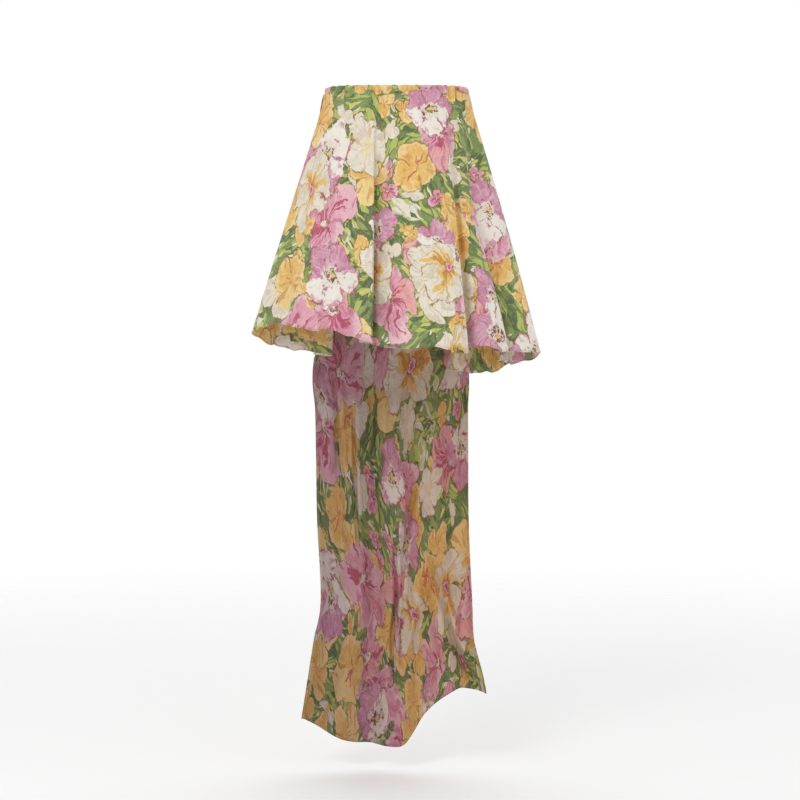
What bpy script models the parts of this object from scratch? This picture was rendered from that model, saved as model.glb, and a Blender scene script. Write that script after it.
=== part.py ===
"""A strapless dress: a short flared body, gathered into an elastic casing round the neckline, with its
centre-back panel cut long, so that it hangs on below the short hem as a train.

Metres, +Z up. The front faces -Y, and +X is on the right of the front view. The origin is the centre
of the neckline's top edge, which is where the garment grips the wearer's chest.

Every panel is a closed cloth wall, lofted through unlike rings: a gathered ellipse at the neckline,
and a hem whose folds are rows of a table. The cloth between them hangs in straight lines.
"""

import math
from collections import namedtuple

import bmesh
import bpy
import numpy as np

# ---- Driving dimensions ------------------------------------------------------------------------
NECK_HALF_WIDTH = 0.156
NECK_HALF_DEPTH = 0.1175
NECK_SIDE_RISE = 0.010  # of the neckline under the arms, above its front and back
CASING_HEIGHT = 0.012
CASING_WALL = 0.0032
CASING_PUFF = 0.0010  # how far the casing's middle stands out from its edges
CASING_GATHER_SHARE = 0.5  # how deep the gathers are in the casing, against the cloth under it
CASING_FRILL = 0.0014  # rise and fall of the gathered top edge

CLOTH_WALL = 0.0015
RIGHT_SWELL = 0.0035  # how far the cloth bows out halfway down the right side, fading to none on the left
SEAM_GAP = 0.0003

COLUMNS_PER_GATHER = 4
BODY_ROWS = 11
BODY_ROW_CROWDING = 1.35  # above 1, rows crowd towards the gathered top
TRAIN_ROWS = 14
TRAIN_FOLD_GROWTH = 2.6  # how many times deeper the train's folds are at its hem than at the short hem
NECK_WEIGHT = 3  # columns are evenly spaced by their way along the hem, and this times that of their tops
SPLINE_STEPS = 16  # points between two rows of a table

# ---- Panels, in order round the body, anticlockwise seen from above ------------------------------
Panel = namedtuple("Panel", "name gathers")
PANELS = (
    Panel("side_back_left", 7),
    Panel("front", 21),
    Panel("side_back_right", 7),
    Panel("train", 8),
)

# The gathers under the casing, which follow each other round the neckline and then repeat. Each fades
# out at its reach, a share of the short length.
Gather = namedtuple("Gather", "depth reach")
GATHERS = (
    Gather(0.0024, 0.12),
    Gather(0.0030, 0.22),
    Gather(0.0017, 0.10),
    Gather(0.0033, 0.30),
    Gather(0.0020, 0.15),
    Gather(0.0026, 0.18),
    Gather(0.0016, 0.09),
)

# The short hem, a row for each turn of a fold. A panel runs from its first row to the next panel's.
# bearing is where the cloth leaves the neckline: degrees from the centre front, + towards +X.
HemPoint = namedtuple("HemPoint", "panel x y drop bearing")
SHORT_HEM = (
    HemPoint("side_back_left", -0.190, 0.210, 0.568, -147),  # seam, on the edge of a back fold
    HemPoint("side_back_left", -0.187, 0.184, 0.569, -143),
    HemPoint("side_back_left", -0.152, 0.138, 0.572, -137),
    HemPoint("side_back_left", -0.158, 0.118, 0.571, -133),
    HemPoint("side_back_left", -0.219, 0.158, 0.558, -123),
    HemPoint("side_back_left", -0.262, 0.135, 0.554, -115),
    HemPoint("side_back_left", -0.288, 0.085, 0.548, -105),
    HemPoint("side_back_left", -0.303, 0.048, 0.538, -98),
    HemPoint("front", -0.320, 0.000, 0.525, -90),  # left side seam
    HemPoint("front", -0.292, -0.050, 0.517, -86),
    HemPoint("front", -0.250, -0.090, 0.506, -78),
    HemPoint("front", -0.210, -0.158, 0.521, -66),
    HemPoint("front", -0.168, -0.182, 0.527, -56),
    HemPoint("front", -0.138, -0.212, 0.527, -48),
    HemPoint("front", -0.105, -0.214, 0.538, -38),
    HemPoint("front", -0.078, -0.240, 0.547, -28),
    HemPoint("front", -0.053, -0.250, 0.554, -19.5),
    HemPoint("front", -0.051, -0.230, 0.554, -17),  # the deep fold left of the centre turns under here
    HemPoint("front", -0.079, -0.203, 0.553, -13.5),
    HemPoint("front", -0.066, -0.189, 0.554, -11),
    HemPoint("front", -0.036, -0.217, 0.560, -7),
    HemPoint("front", 0.000, -0.245, 0.567, 0),
    HemPoint("front", 0.047, -0.256, 0.565, 9),
    HemPoint("front", 0.098, -0.250, 0.566, 22),
    HemPoint("front", 0.141, -0.232, 0.574, 36.5),
    HemPoint("front", 0.147, -0.212, 0.574, 39.5),  # the right fold turns under here
    HemPoint("front", 0.120, -0.177, 0.568, 43.5),
    HemPoint("front", 0.132, -0.159, 0.562, 47),
    HemPoint("front", 0.168, -0.166, 0.560, 53),
    HemPoint("front", 0.205, -0.161, 0.562, 59),
    HemPoint("front", 0.234, -0.131, 0.570, 64),
    HemPoint("front", 0.233, -0.110, 0.570, 66.5),  # and the side fold here
    HemPoint("front", 0.210, -0.080, 0.566, 70.5),
    HemPoint("front", 0.225, -0.060, 0.568, 74),
    HemPoint("front", 0.268, -0.060, 0.571, 80),
    HemPoint("front", 0.303, -0.036, 0.569, 86),
    HemPoint("side_back_right", 0.3155, 0.000, 0.569, 90),  # right side seam
    HemPoint("side_back_right", 0.298, 0.040, 0.586, 97),
    HemPoint("side_back_right", 0.262, 0.082, 0.591, 105),
    HemPoint("side_back_right", 0.248, 0.140, 0.594, 114),
    HemPoint("side_back_right", 0.216, 0.184, 0.610, 123),
    HemPoint("side_back_right", 0.176, 0.162, 0.611, 131),
    HemPoint("side_back_right", 0.142, 0.118, 0.606, 137),
    HemPoint("side_back_right", 0.126, 0.134, 0.604, 140),
    HemPoint("side_back_right", 0.158, 0.182, 0.602, 144),
    HemPoint("train", 0.164, 0.210, 0.600, 147),  # seam, on the edge of a back fold
    HemPoint("train", 0.140, 0.224, 0.600, 152),
    HemPoint("train", 0.094, 0.214, 0.600, 160),
    HemPoint("train", 0.046, 0.227, 0.600, 169),
    HemPoint("train", -0.010, 0.216, 0.598, 180),
    HemPoint("train", -0.062, 0.229, 0.595, 190),
    HemPoint("train", -0.116, 0.215, 0.590, 201),
    HemPoint("train", -0.166, 0.224, 0.587, 209),
)

# Folds that don't hang straight from the neckline to the hem. Each is moved sideways, most at its
# level, a share of the short length, and less to either side of its bearing.
FoldBend = namedtuple("FoldBend", "bearing spread level x")
FOLD_BENDS = (FoldBend(64, 20, 0.42, -0.023),)

# The train below the short hem: where its two edges are at each drop, and how far back it hangs.
TrainSection = namedtuple("TrainSection", "drop left right depth")
TRAIN_SECTIONS = (
    TrainSection(0.300, -0.1360, 0.1250, 0.154),
    TrainSection(0.580, -0.1895, 0.1640, 0.210),
    TrainSection(0.700, -0.1865, 0.1645, 0.218),
    TrainSection(0.790, -0.1850, 0.1650, 0.221),
    TrainSection(0.950, -0.1825, 0.1662, 0.224),
    TrainSection(1.140, -0.1745, 0.1745, 0.230),
    TrainSection(1.234, -0.1910, 0.1800, 0.242),
    TrainSection(1.331, -0.2065, 0.2040, 0.264),
    TrainSection(1.450, -0.2260, 0.2240, 0.300),
    TrainSection(1.500, -0.2340, 0.2330, 0.320),
)

# The train's hem: it dips left of the middle and is cut up in a hollow curve on the right.
TrainHem = namedtuple("TrainHem", "share drop")  # share is from the right edge, 0, to the left, 1
TRAIN_HEM = (
    TrainHem(0.000, 1.362),
    TrainHem(0.090, 1.355),
    TrainHem(0.160, 1.354),
    TrainHem(0.250, 1.377),
    TrainHem(0.350, 1.420),
    TrainHem(0.410, 1.462),
    TrainHem(0.465, 1.494),
    TrainHem(0.530, 1.500),
    TrainHem(0.730, 1.488),
    TrainHem(0.870, 1.462),
    TrainHem(1.000, 1.427),
)

# Colours are linear RGB.
CLOTH_COLOUR = (0.62, 0.45, 0.30, 1.0)
TRAIN_COLOUR = (0.43, 0.33, 0.24, 1.0)  # its duller reverse side is what shows from the front
CLOTH_ROUGHNESS = 0.7


# ---- Curves ---------------------------------------------------------------------------------------
def spline(rows, closed=False):
    """A smooth curve through the rows, SPLINE_STEPS points a span. Row i is its point i * SPLINE_STEPS."""
    rows = np.asarray(rows, float)
    if closed:
        padded = np.vstack([rows[-1:], rows, rows[:2]])
    else:
        padded = np.vstack([2 * rows[0] - rows[1], rows, 2 * rows[-1] - rows[-2]])
    before, start, end, after = padded[:-3], padded[1:-2], padded[2:-1], padded[3:]
    points = []
    for step in range(SPLINE_STEPS):
        u = step / SPLINE_STEPS
        points.append(
            start * (1 - 3 * u**2 + 2 * u**3)
            + end * (3 * u**2 - 2 * u**3)
            + (end - before) / 2 * (u - 2 * u**2 + u**3)
            + (after - start) / 2 * (u**3 - u**2)
        )
    curve = np.stack(points, axis=1).reshape(-1, rows.shape[1])
    return curve if closed else np.vstack([curve, rows[-1:]])


def evenly_along(curve, count):
    """count + 1 points at equal distances along a curve."""
    reached = np.concatenate([[0.0], np.cumsum(np.linalg.norm(np.diff(curve, axis=0), axis=1))])
    wanted = np.linspace(0.0, reached[-1], count + 1)
    return np.stack([np.interp(wanted, reached, axis) for axis in curve.T], axis=1)


def smooth_step(share):
    share = np.clip(share, 0.0, 1.0)
    return share * share * (3 - 2 * share)


def hump(share, peak):
    """A smooth hump over 0 to 1, which is 0 at both ends and 1 at its peak."""
    return np.sin(math.pi * share ** (math.log(0.5) / math.log(peak))) ** 2


def neckline(bearings, height):
    """Points of the neckline's ellipse, at bearings in radians from the centre front."""
    rise = height + NECK_SIDE_RISE * np.sin(bearings) ** 2
    return np.stack([NECK_HALF_WIDTH * np.sin(bearings), -NECK_HALF_DEPTH * np.cos(bearings), rise], axis=-1)


# ---- The body, as one ring of columns ---------------------------------------------------------------
def column_count(panels):
    return sum(panel.gathers for panel in panels) * COLUMNS_PER_GATHER


def hem_and_bearings():
    """Each column's point on the short hem, and the bearing where it leaves the neckline, in radians."""
    names = [row.panel for row in SHORT_HEM]
    turns = np.radians([row.bearing for row in SHORT_HEM])
    tops = NECK_WEIGHT * neckline(turns, 0.0)[:, :2]
    hem = np.array([(row.x, row.y, -row.drop) for row in SHORT_HEM])
    curve = spline(np.hstack([hem, tops]), closed=True)
    curve = np.vstack([curve, curve[:1]])
    spans = []
    for panel in PANELS:
        first = names.index(panel.name) * SPLINE_STEPS
        last = first + names.count(panel.name) * SPLINE_STEPS
        spans.append(evenly_along(curve[first : last + 1], column_count([panel]))[:-1])
    columns = np.concatenate(spans)
    bearings = np.arctan2(columns[:, 3] / NECK_HALF_WIDTH, -columns[:, 4] / NECK_HALF_DEPTH)
    return columns[:, :3], bearings


def fold_bends(bearings, levels):
    """How far FOLD_BENDS move each point of the ring sideways."""
    moved = np.zeros((len(levels), len(bearings)))
    for bend in FOLD_BENDS:
        away = (np.degrees(bearings) - bend.bearing) / bend.spread
        moved += bend.x * smooth_step(1 - np.abs(away)) * hump(levels, bend.level)[:, None]
    return moved


def gather_waves():
    """How far the gathers move each column at the neckline, and the share of the length they reach."""
    columns = np.arange(column_count(PANELS))
    rows = [GATHERS[gather % len(GATHERS)] for gather in columns // COLUMNS_PER_GATHER]
    depth = np.array([row.depth for row in rows])
    reach = np.array([row.reach for row in rows])
    return depth * np.sin(2 * math.pi * columns / COLUMNS_PER_GATHER), reach


def outward(surface):
    """Unit normals of a [row, column] surface whose rows go down and columns anticlockwise."""
    down = np.gradient(surface, axis=0)
    across = np.gradient(surface, axis=1)
    normals = np.cross(down, across)
    return normals / np.linalg.norm(normals, axis=2, keepdims=True)


def body_ring():
    """The middle surface and normals of the cloth all round, from the casing to the short hem."""
    hem, bearings = hem_and_bearings()
    levels = (np.arange(BODY_ROWS + 1) / BODY_ROWS) ** BODY_ROW_CROWDING
    down = levels[:, None, None]
    ring = neckline(bearings, -CASING_HEIGHT - SEAM_GAP) * (1 - down) + hem * down
    swell = RIGHT_SWELL * (1 + np.sin(bearings)) / 2 * np.sin(math.pi * levels)[:, None]
    ring[:, :, 0] += swell * np.sin(bearings) + fold_bends(bearings, levels)
    ring[:, :, 1] -= swell * np.cos(bearings)

    wrapped = np.concatenate([ring[:, -1:], ring, ring[:, :1]], axis=1)
    normals = outward(wrapped)[:, 1:-1]
    wave, reach = gather_waves()
    gathered = ring + normals * (wave * (1 - smooth_step(levels[:, None] / reach)))[:, :, None]
    gathered[0, :, 2] = ring[0, :, 2]
    return gathered, normals


def cut_panel(ring, panel):
    """The panel's own columns of the ring, and the next panel's first, which is their seam."""
    first = column_count(PANELS[: PANELS.index(panel)])
    return ring[:, np.arange(first, first + column_count([panel]) + 1) % ring.shape[1]]


# ---- The train ------------------------------------------------------------------------------------
def train_surface(upper, upper_normals):
    """The train's whole middle surface: its body part, and the part that hangs below the short hem."""
    sections = spline(TRAIN_SECTIONS)
    hem = spline(TRAIN_HEM)
    start = upper[-1]
    drops = -start[:, 2]

    def edges(drop):
        return (np.interp(drop, sections[:, 0], sections[:, column]) for column in (1, 2, 3))

    left, right, depth = edges(drops)
    share = (right - start[:, 0]) / (right - left)
    fold = start[:, 1] - depth
    hem_drop = np.interp(share, hem[:, 0], hem[:, 1])
    rows = []
    for row in range(1, TRAIN_ROWS + 1):
        along = row / TRAIN_ROWS
        drop = drops + along * (hem_drop - drops)
        left, right, depth = edges(drop)
        deeper = 1 + (TRAIN_FOLD_GROWTH - 1) * smooth_step(along)
        rows.append(np.stack([right - share * (right - left), depth + fold * deeper, -drop], axis=1))
    whole = np.concatenate([upper, np.stack(rows)])
    normals = outward(whole)
    normals[: len(upper)] = upper_normals
    return whole, normals


# ---- Solids ---------------------------------------------------------------------------------------
def material(name, colour):
    made = bpy.data.materials.new(name)
    made.use_nodes = True
    shader = made.node_tree.nodes["Principled BSDF"]
    shader.inputs["Base Color"].default_value = colour
    shader.inputs["Roughness"].default_value = CLOTH_ROUGHNESS
    shader.inputs["Metallic"].default_value = 0.0
    made.diffuse_color = colour
    return made


def parted_at_seams(middle):
    """The panel with both side edges drawn in by half a seam gap."""
    parted = middle.copy()
    for edge, inner in ((0, 1), (-1, -2)):
        towards = middle[:, inner] - middle[:, edge]
        towards /= np.linalg.norm(towards, axis=1, keepdims=True)
        parted[:, edge] += towards * SEAM_GAP / 2
    return parted


def cloth_wall(name, middle, normals, thickness, finish, ring=False):
    """One closed wall from a [row, column] middle surface. A ring's last column joins its first."""
    outer = middle + normals * thickness / 2
    inner = middle - normals * thickness / 2
    for skin in (outer, inner):
        skin[0, :, 2] = middle[0, :, 2]  # the top edge is cut level, so that it stays clear of the casing
    rows, columns = middle.shape[:2]
    bm = bmesh.new()
    skins = [[[bm.verts.new(point) for point in row] for row in skin] for skin in (outer, inner)]
    out, into = skins
    steps = range(columns if ring else columns - 1)
    for row in range(rows - 1):
        for column in steps:
            beside = (column + 1) % columns
            bm.faces.new((out[row][column], out[row + 1][column], out[row + 1][beside], out[row][beside]))
            bm.faces.new((into[row][column], into[row][beside], into[row + 1][beside], into[row + 1][column]))
    for column in steps:
        beside = (column + 1) % columns
        bm.faces.new((out[0][column], out[0][beside], into[0][beside], into[0][column]))
        bm.faces.new((out[-1][beside], out[-1][column], into[-1][column], into[-1][beside]))
    if not ring:
        for row in range(rows - 1):
            bm.faces.new((out[row + 1][0], out[row][0], into[row][0], into[row + 1][0]))
            bm.faces.new((out[row][-1], out[row + 1][-1], into[row + 1][-1], into[row][-1]))
    mesh = bpy.data.meshes.new(name)
    bm.to_mesh(mesh)
    bm.free()
    mesh.shade_smooth()
    mesh.set_sharp_from_angle(angle=math.radians(50))
    mesh.materials.append(finish)
    piece = bpy.data.objects.new(name, mesh)
    bpy.data.collections["strapless_dress"].objects.link(piece)
    return piece


def make_casing(finish):
    """The elastic's casing: a low, puffed ring, which shares the gathers of the cloth under it."""
    bearings = hem_and_bearings()[1]
    wave = CASING_GATHER_SHARE * gather_waves()[0]
    middle = np.stack([neckline(bearings, -CASING_HEIGHT * share) for share in (0.0, 0.5, 1.0)])
    middle[0, :, 2] -= CASING_FRILL * (1 - wave / wave.max()) / 2
    away = neckline(bearings, 0.0) * (NECK_HALF_WIDTH**-2, NECK_HALF_DEPTH**-2, 0.0)
    away /= np.linalg.norm(away, axis=1, keepdims=True)
    normals = np.broadcast_to(away, middle.shape)
    puff = np.array([0.0, CASING_PUFF, 0.0])[:, None] + wave
    cloth_wall("neck_casing", middle + normals * puff[:, :, None], normals, CASING_WALL, finish, ring=True)


def make_body(cloth, train_cloth):
    ring, ring_normals = body_ring()
    for panel in PANELS:
        middle, normals = cut_panel(ring, panel), cut_panel(ring_normals, panel)
        finish = cloth
        if panel.name == "train":
            middle, normals = train_surface(middle, normals)
            finish = train_cloth
        cloth_wall(panel.name, parted_at_seams(middle), normals, CLOTH_WALL, finish)


def main():
    for leftover in list(bpy.data.objects):
        bpy.data.objects.remove(leftover)
    dress = bpy.data.collections.new("strapless_dress")
    bpy.context.scene.collection.children.link(dress)
    cloth = material("printed_cloth", CLOTH_COLOUR)
    train_cloth = material("printed_cloth_train", TRAIN_COLOUR)
    make_casing(cloth)
    make_body(cloth, train_cloth)


main()
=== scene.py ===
"""The looks of a strapless dress: thin printed cloth over the solids of its panels, with its gathers,
creases, rolled hems, seams and stitching, in a plain white studio.

Metres, +Z up. The front faces -Y, and the origin is the centre of the neckline's top edge.
"""

import math
from collections import namedtuple
from types import SimpleNamespace

import bpy
import numpy as np
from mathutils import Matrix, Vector


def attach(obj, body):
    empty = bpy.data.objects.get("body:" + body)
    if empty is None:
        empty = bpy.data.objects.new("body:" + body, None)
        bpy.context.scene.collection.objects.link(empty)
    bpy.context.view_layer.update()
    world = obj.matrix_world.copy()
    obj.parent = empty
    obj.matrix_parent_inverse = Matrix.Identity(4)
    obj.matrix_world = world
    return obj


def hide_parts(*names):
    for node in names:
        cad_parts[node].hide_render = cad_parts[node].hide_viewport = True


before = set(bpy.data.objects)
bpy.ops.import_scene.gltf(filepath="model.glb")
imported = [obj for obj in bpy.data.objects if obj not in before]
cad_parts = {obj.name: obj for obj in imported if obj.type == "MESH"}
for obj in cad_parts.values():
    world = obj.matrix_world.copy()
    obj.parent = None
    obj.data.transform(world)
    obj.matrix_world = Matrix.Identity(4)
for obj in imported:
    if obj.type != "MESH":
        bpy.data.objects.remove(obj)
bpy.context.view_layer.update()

# ---- Sizes that the panels' solids have --------------------------------------------------------------
NECK_HALF_WIDTH = 0.156
NECK_HALF_DEPTH = 0.1175
NECK_SIDE_RISE = 0.010  # how much higher the neckline is at its sides
CASING_HEIGHT = 0.012
CASING_WALL = 0.0032
CASING_PUFF = 0.0010
CASING_GATHER_SHARE = 0.5
CASING_FRILL = 0.0014
CASING_LEAN = 0.0036  # how far the elastic draws its top edge in
RIGHT_SWELL = 0.0035  # how far the body swells out half way down, the most on the right
SEAM_GAP = 0.0003
TRAIN_FOLD_GROWTH = 2.6  # how many times deeper the train's folds are at its hem than at the short hem
NECK_WEIGHT = 3  # how much the neckline counts, against the short hem, in how columns are spaced
SPLINE_STEPS = 16

# ---- Sizes of the finer cloth ------------------------------------------------------------------------
CLOTH_THICKNESS = 0.0007
COLUMNS_PER_GATHER = 16
BODY_ROWS = 64
BODY_ROW_CROWDING = 1.2  # above 1, rows crowd towards the gathered top
TRAIN_ROWS = 110
CASING_ROWS = 8
PUCKERS_PER_GATHER = 3  # small puckers that the elastic draws up beside each gather
PUCKER_DEPTH = 0.0010
PUCKER_REACH = 0.09  # a share of the short length
HEM_RADIUS = 0.0011
HEM_SIDES = 8
FLUTTER_DEPTH = 0.0020
FLUTTER_START = 0.72  # a share of the length
HEM_LIFT = 0.8  # how far the hem rises where it stands out, as a share of how far it does
CREASE_FADE_IN = 0.3  # a share of the crease's length, and so are the next two
BODY_CREASE_FADE_OUT = 0.4
TRAIN_CREASE_FADE_OUT = 0.3
CASING_TOP_POWER, CASING_SIDE_POWER = 0.6, 0.8  # below 1, they square the casing's cross-section
CASING_FOOT = 0.22  # the casing's thickness at its foot, as a share of its whole one
CASING_FOOT_REACH = 0.7  # a share of the casing's height
SEAM_ALLOWANCE = 0.007
STITCH_LENGTH = 0.0022
STITCH_GAP = 0.0007
STITCH_RADIUS = 0.00022
STITCH_INSET = 0.0032  # from the edge that it holds
STITCH_SIDES = 4
STITCH_SHOULDERS = (0.2, 0.8)  # where it is as thick as it gets, as shares of its length

# A seam allowance's rows: a share of its width, and its distance behind the panel in cloth thicknesses.
AllowanceRow = namedtuple("AllowanceRow", "share lift")
ALLOWANCE_ROWS = (
    AllowanceRow(0.02, 0.9),
    AllowanceRow(0.35, 1.6),
    AllowanceRow(0.70, 1.6),
    AllowanceRow(1.00, 1.2),
)

# ---- Shapes that the panels' solids have -------------------------------------------------------------
Panel = namedtuple("Panel", "name gathers")
PANELS = (
    Panel("side_back_left", 7),
    Panel("front", 21),
    Panel("side_back_right", 7),
    Panel("train", 8),
)

# The gathers, which repeat round the neckline. reach is a share of the short length.
Gather = namedtuple("Gather", "depth reach")
GATHERS = (
    Gather(0.0024, 0.12),
    Gather(0.0030, 0.22),
    Gather(0.0017, 0.10),
    Gather(0.0033, 0.30),
    Gather(0.0020, 0.15),
    Gather(0.0026, 0.18),
    Gather(0.0016, 0.09),
)

# The short hem. drop is below the origin, and bearing, in degrees from the centre front, is where the
# column of cloth that ends at this point leaves the neckline.
HemPoint = namedtuple("HemPoint", "panel x y drop bearing")
HEM_BY_PANEL = {
    "side_back_left": (
        (-0.190, 0.210, 0.568, -147),
        (-0.187, 0.184, 0.569, -143),
        (-0.152, 0.138, 0.572, -137),
        (-0.158, 0.118, 0.571, -133),
        (-0.219, 0.158, 0.558, -123),
        (-0.262, 0.135, 0.554, -115),
        (-0.288, 0.085, 0.548, -105),
        (-0.303, 0.048, 0.538, -98),
    ),
    "front": (
        (-0.320, 0.000, 0.525, -90),
        (-0.292, -0.050, 0.517, -86),
        (-0.250, -0.090, 0.506, -78),
        (-0.210, -0.158, 0.521, -66),
        (-0.168, -0.182, 0.527, -56),
        (-0.138, -0.212, 0.527, -48),
        (-0.105, -0.214, 0.538, -38),
        (-0.078, -0.240, 0.547, -28),
        (-0.053, -0.250, 0.554, -19.5),
        (-0.051, -0.230, 0.554, -17),
        (-0.079, -0.203, 0.553, -13.5),
        (-0.066, -0.189, 0.554, -11),
        (-0.036, -0.217, 0.560, -7),
        (0.000, -0.245, 0.567, 0),
        (0.047, -0.256, 0.565, 9),
        (0.098, -0.250, 0.566, 22),
        (0.141, -0.232, 0.574, 36.5),
        (0.147, -0.212, 0.574, 39.5),
        (0.120, -0.177, 0.568, 43.5),
        (0.132, -0.159, 0.562, 47),
        (0.168, -0.166, 0.560, 53),
        (0.205, -0.161, 0.562, 59),
        (0.234, -0.131, 0.570, 64),
        (0.233, -0.110, 0.570, 66.5),
        (0.210, -0.080, 0.566, 70.5),
        (0.225, -0.060, 0.568, 74),
        (0.268, -0.060, 0.571, 80),
        (0.303, -0.036, 0.569, 86),
    ),
    "side_back_right": (
        (0.3155, 0.000, 0.569, 90),
        (0.298, 0.040, 0.586, 97),
        (0.262, 0.082, 0.591, 105),
        (0.248, 0.140, 0.594, 114),
        (0.216, 0.184, 0.610, 123),
        (0.176, 0.162, 0.611, 131),
        (0.142, 0.118, 0.606, 137),
        (0.126, 0.134, 0.604, 140),
        (0.158, 0.182, 0.602, 144),
    ),
    "train": (
        (0.164, 0.210, 0.600, 147),
        (0.140, 0.224, 0.600, 152),
        (0.094, 0.214, 0.600, 160),
        (0.046, 0.227, 0.600, 169),
        (-0.010, 0.216, 0.598, 180),
        (-0.062, 0.229, 0.595, 190),
        (-0.116, 0.215, 0.590, 201),
        (-0.166, 0.224, 0.587, 209),
    ),
}
SHORT_HEM = [
    HemPoint(panel, *numbers) for panel, rows in HEM_BY_PANEL.items() for numbers in rows
]

# Folds of the body that bend sideways by x. bearing and spread are in degrees, and the bend is greatest at
# level, a share of the short length.
FoldBend = namedtuple("FoldBend", "bearing spread level x")
FOLD_BENDS = (FoldBend(64, 20, 0.42, -0.023),)

# The X of the train's edges and the Y of its middle, by how far they are below the origin.
TrainSection = namedtuple("TrainSection", "drop left right depth")
TRAIN_SECTIONS = (
    TrainSection(0.300, -0.1360, 0.1250, 0.154),
    TrainSection(0.580, -0.1895, 0.1640, 0.210),
    TrainSection(0.700, -0.1865, 0.1645, 0.218),
    TrainSection(0.790, -0.1850, 0.1650, 0.221),
    TrainSection(0.950, -0.1825, 0.1662, 0.224),
    TrainSection(1.140, -0.1745, 0.1745, 0.230),
    TrainSection(1.234, -0.1910, 0.1800, 0.242),
    TrainSection(1.331, -0.2065, 0.2040, 0.264),
    TrainSection(1.450, -0.2260, 0.2240, 0.300),
    TrainSection(1.500, -0.2340, 0.2330, 0.320),
)

# The train's hem, which slants. share is from its right edge to its left.
TrainHem = namedtuple("TrainHem", "share drop")
TRAIN_HEM = (
    TrainHem(0.000, 1.362),
    TrainHem(0.090, 1.355),
    TrainHem(0.160, 1.354),
    TrainHem(0.250, 1.377),
    TrainHem(0.350, 1.420),
    TrainHem(0.410, 1.462),
    TrainHem(0.465, 1.494),
    TrainHem(0.530, 1.500),
    TrainHem(0.730, 1.488),
    TrainHem(0.870, 1.462),
    TrainHem(1.000, 1.427),
)

# ---- Creases that the solids are too coarse for ------------------------------------------------------
# On the body, from a bearing at one level to a bearing at a lower one. width is in degrees at the top
# and grows with the flare. A depth above 0 stands out, and below 0 sinks in.
BodyCrease = namedtuple("BodyCrease", "top_bearing top_level low_bearing low_level width depth")
BODY_CREASES = (
    BodyCrease(-70, 0.03, -62, 0.55, 4.0, -0.0035),
    BodyCrease(-58, 0.05, -52, 0.42, 3.0, 0.0030),
    BodyCrease(-44, 0.02, -43, 0.70, 3.5, -0.0030),
    BodyCrease(-33, 0.10, -30, 0.95, 2.6, 0.0026),
    BodyCrease(-24, 0.25, -25, 1.10, 2.0, -0.0034),
    BodyCrease(-7, 0.02, -3, 0.35, 2.2, 0.0030),
    BodyCrease(2, 0.02, 5, 0.28, 1.8, -0.0036),
    BodyCrease(12, 0.05, 14, 0.80, 3.2, 0.0028),
    BodyCrease(20, 0.02, 27, 0.55, 2.4, -0.0030),
    BodyCrease(29, 0.15, 33, 1.10, 2.4, 0.0030),
    BodyCrease(48, 0.02, 50, 0.60, 2.4, -0.0028),
    BodyCrease(56, 0.30, 57, 1.10, 2.2, -0.0032),
    BodyCrease(76, 0.04, 78, 0.65, 3.0, -0.0030),
    BodyCrease(98, 0.05, 101, 0.70, 3.6, 0.0034),
    BodyCrease(110, 0.03, 118, 0.90, 3.4, -0.0036),
    BodyCrease(127, 0.10, 129, 1.10, 3.0, 0.0032),
    BodyCrease(-98, 0.04, -101, 0.60, 3.6, -0.0034),
    BodyCrease(-112, 0.08, -117, 0.95, 3.2, 0.0036),
    BodyCrease(-128, 0.02, -129, 0.70, 3.0, -0.0030),
    BodyCrease(158, 0.03, 157, 0.90, 3.4, -0.0030),
    BodyCrease(176, 0.06, 173, 0.75, 3.0, 0.0030),
    BodyCrease(-163, 0.02, -160, 1.00, 3.6, -0.0034),
    BodyCrease(-76, 0.76, -76, 1.40, 1.6, -0.0040),
    BodyCrease(-52, 0.78, -52, 1.40, 1.4, 0.0034),
    BodyCrease(33, 0.80, 34, 1.40, 1.5, 0.0036),
    BodyCrease(37, 0.74, 38, 1.40, 1.2, -0.0040),
    BodyCrease(39, 0.82, 25, 1.10, 1.2, 0.0080),
    BodyCrease(36, 0.86, 22, 1.12, 1.2, -0.0070),
    BodyCrease(43, 0.30, 43, 1.60, 2.2, -0.0050),
    BodyCrease(49, 0.34, 49, 1.60, 2.4, -0.0110),
    BodyCrease(57, 0.78, 57, 1.40, 1.5, 0.0040),
    BodyCrease(62, 0.80, 63, 1.40, 1.3, -0.0040),
    BodyCrease(77, 0.76, 78, 1.40, 1.8, 0.0040),
    BodyCrease(101, 0.80, 101, 1.40, 1.8, 0.0044),
    BodyCrease(106, 0.76, 107, 1.40, 1.6, -0.0022),
    BodyCrease(112, 0.80, 112, 1.40, 1.7, 0.0030),
    BodyCrease(118, 0.76, 118, 1.40, 1.6, -0.0044),
    BodyCrease(125, 0.80, 125, 1.40, 1.6, 0.0048),
    BodyCrease(133, 0.80, 133, 1.40, 1.5, -0.0048),
    BodyCrease(-110, 0.70, -111, 1.40, 1.6, 0.0040),
    BodyCrease(-120, 0.76, -120, 1.40, 1.6, -0.0030),
)

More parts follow.
